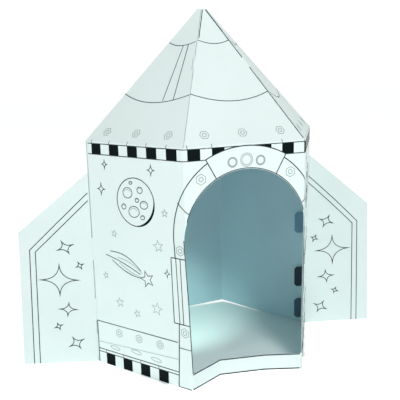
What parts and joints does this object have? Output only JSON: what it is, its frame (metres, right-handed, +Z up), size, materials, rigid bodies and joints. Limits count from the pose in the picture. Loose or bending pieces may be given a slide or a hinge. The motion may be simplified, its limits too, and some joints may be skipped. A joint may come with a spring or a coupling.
{
  "type": "cardboard rocket playhouse",
  "caption": "Folded card playhouse in rocket shape: hexagonal cabin with arched doorway, bent sill, pointed hexagonal roof with locking tongues, and flat side fins on slotted tabs.",
  "frame": {"origin": "on the floor, under the tip of the roof", "axes": "+Z up, the doorway faces -Y, and the fins stand out along -X and +X"},
  "size_m": [1.4229, 0.7569, 1.287],
  "materials": {
    "house_card": "white-faced single-wall card, matt",
    "fin_card": "white-faced single-wall card, matt"
  },
  "bodies": {
    "root": {"front_sheet": "house_card", "rear_sheet": "house_card", "left_fin": "fin_card", "right_fin": "fin_card"}
  },
  "joints": []
}
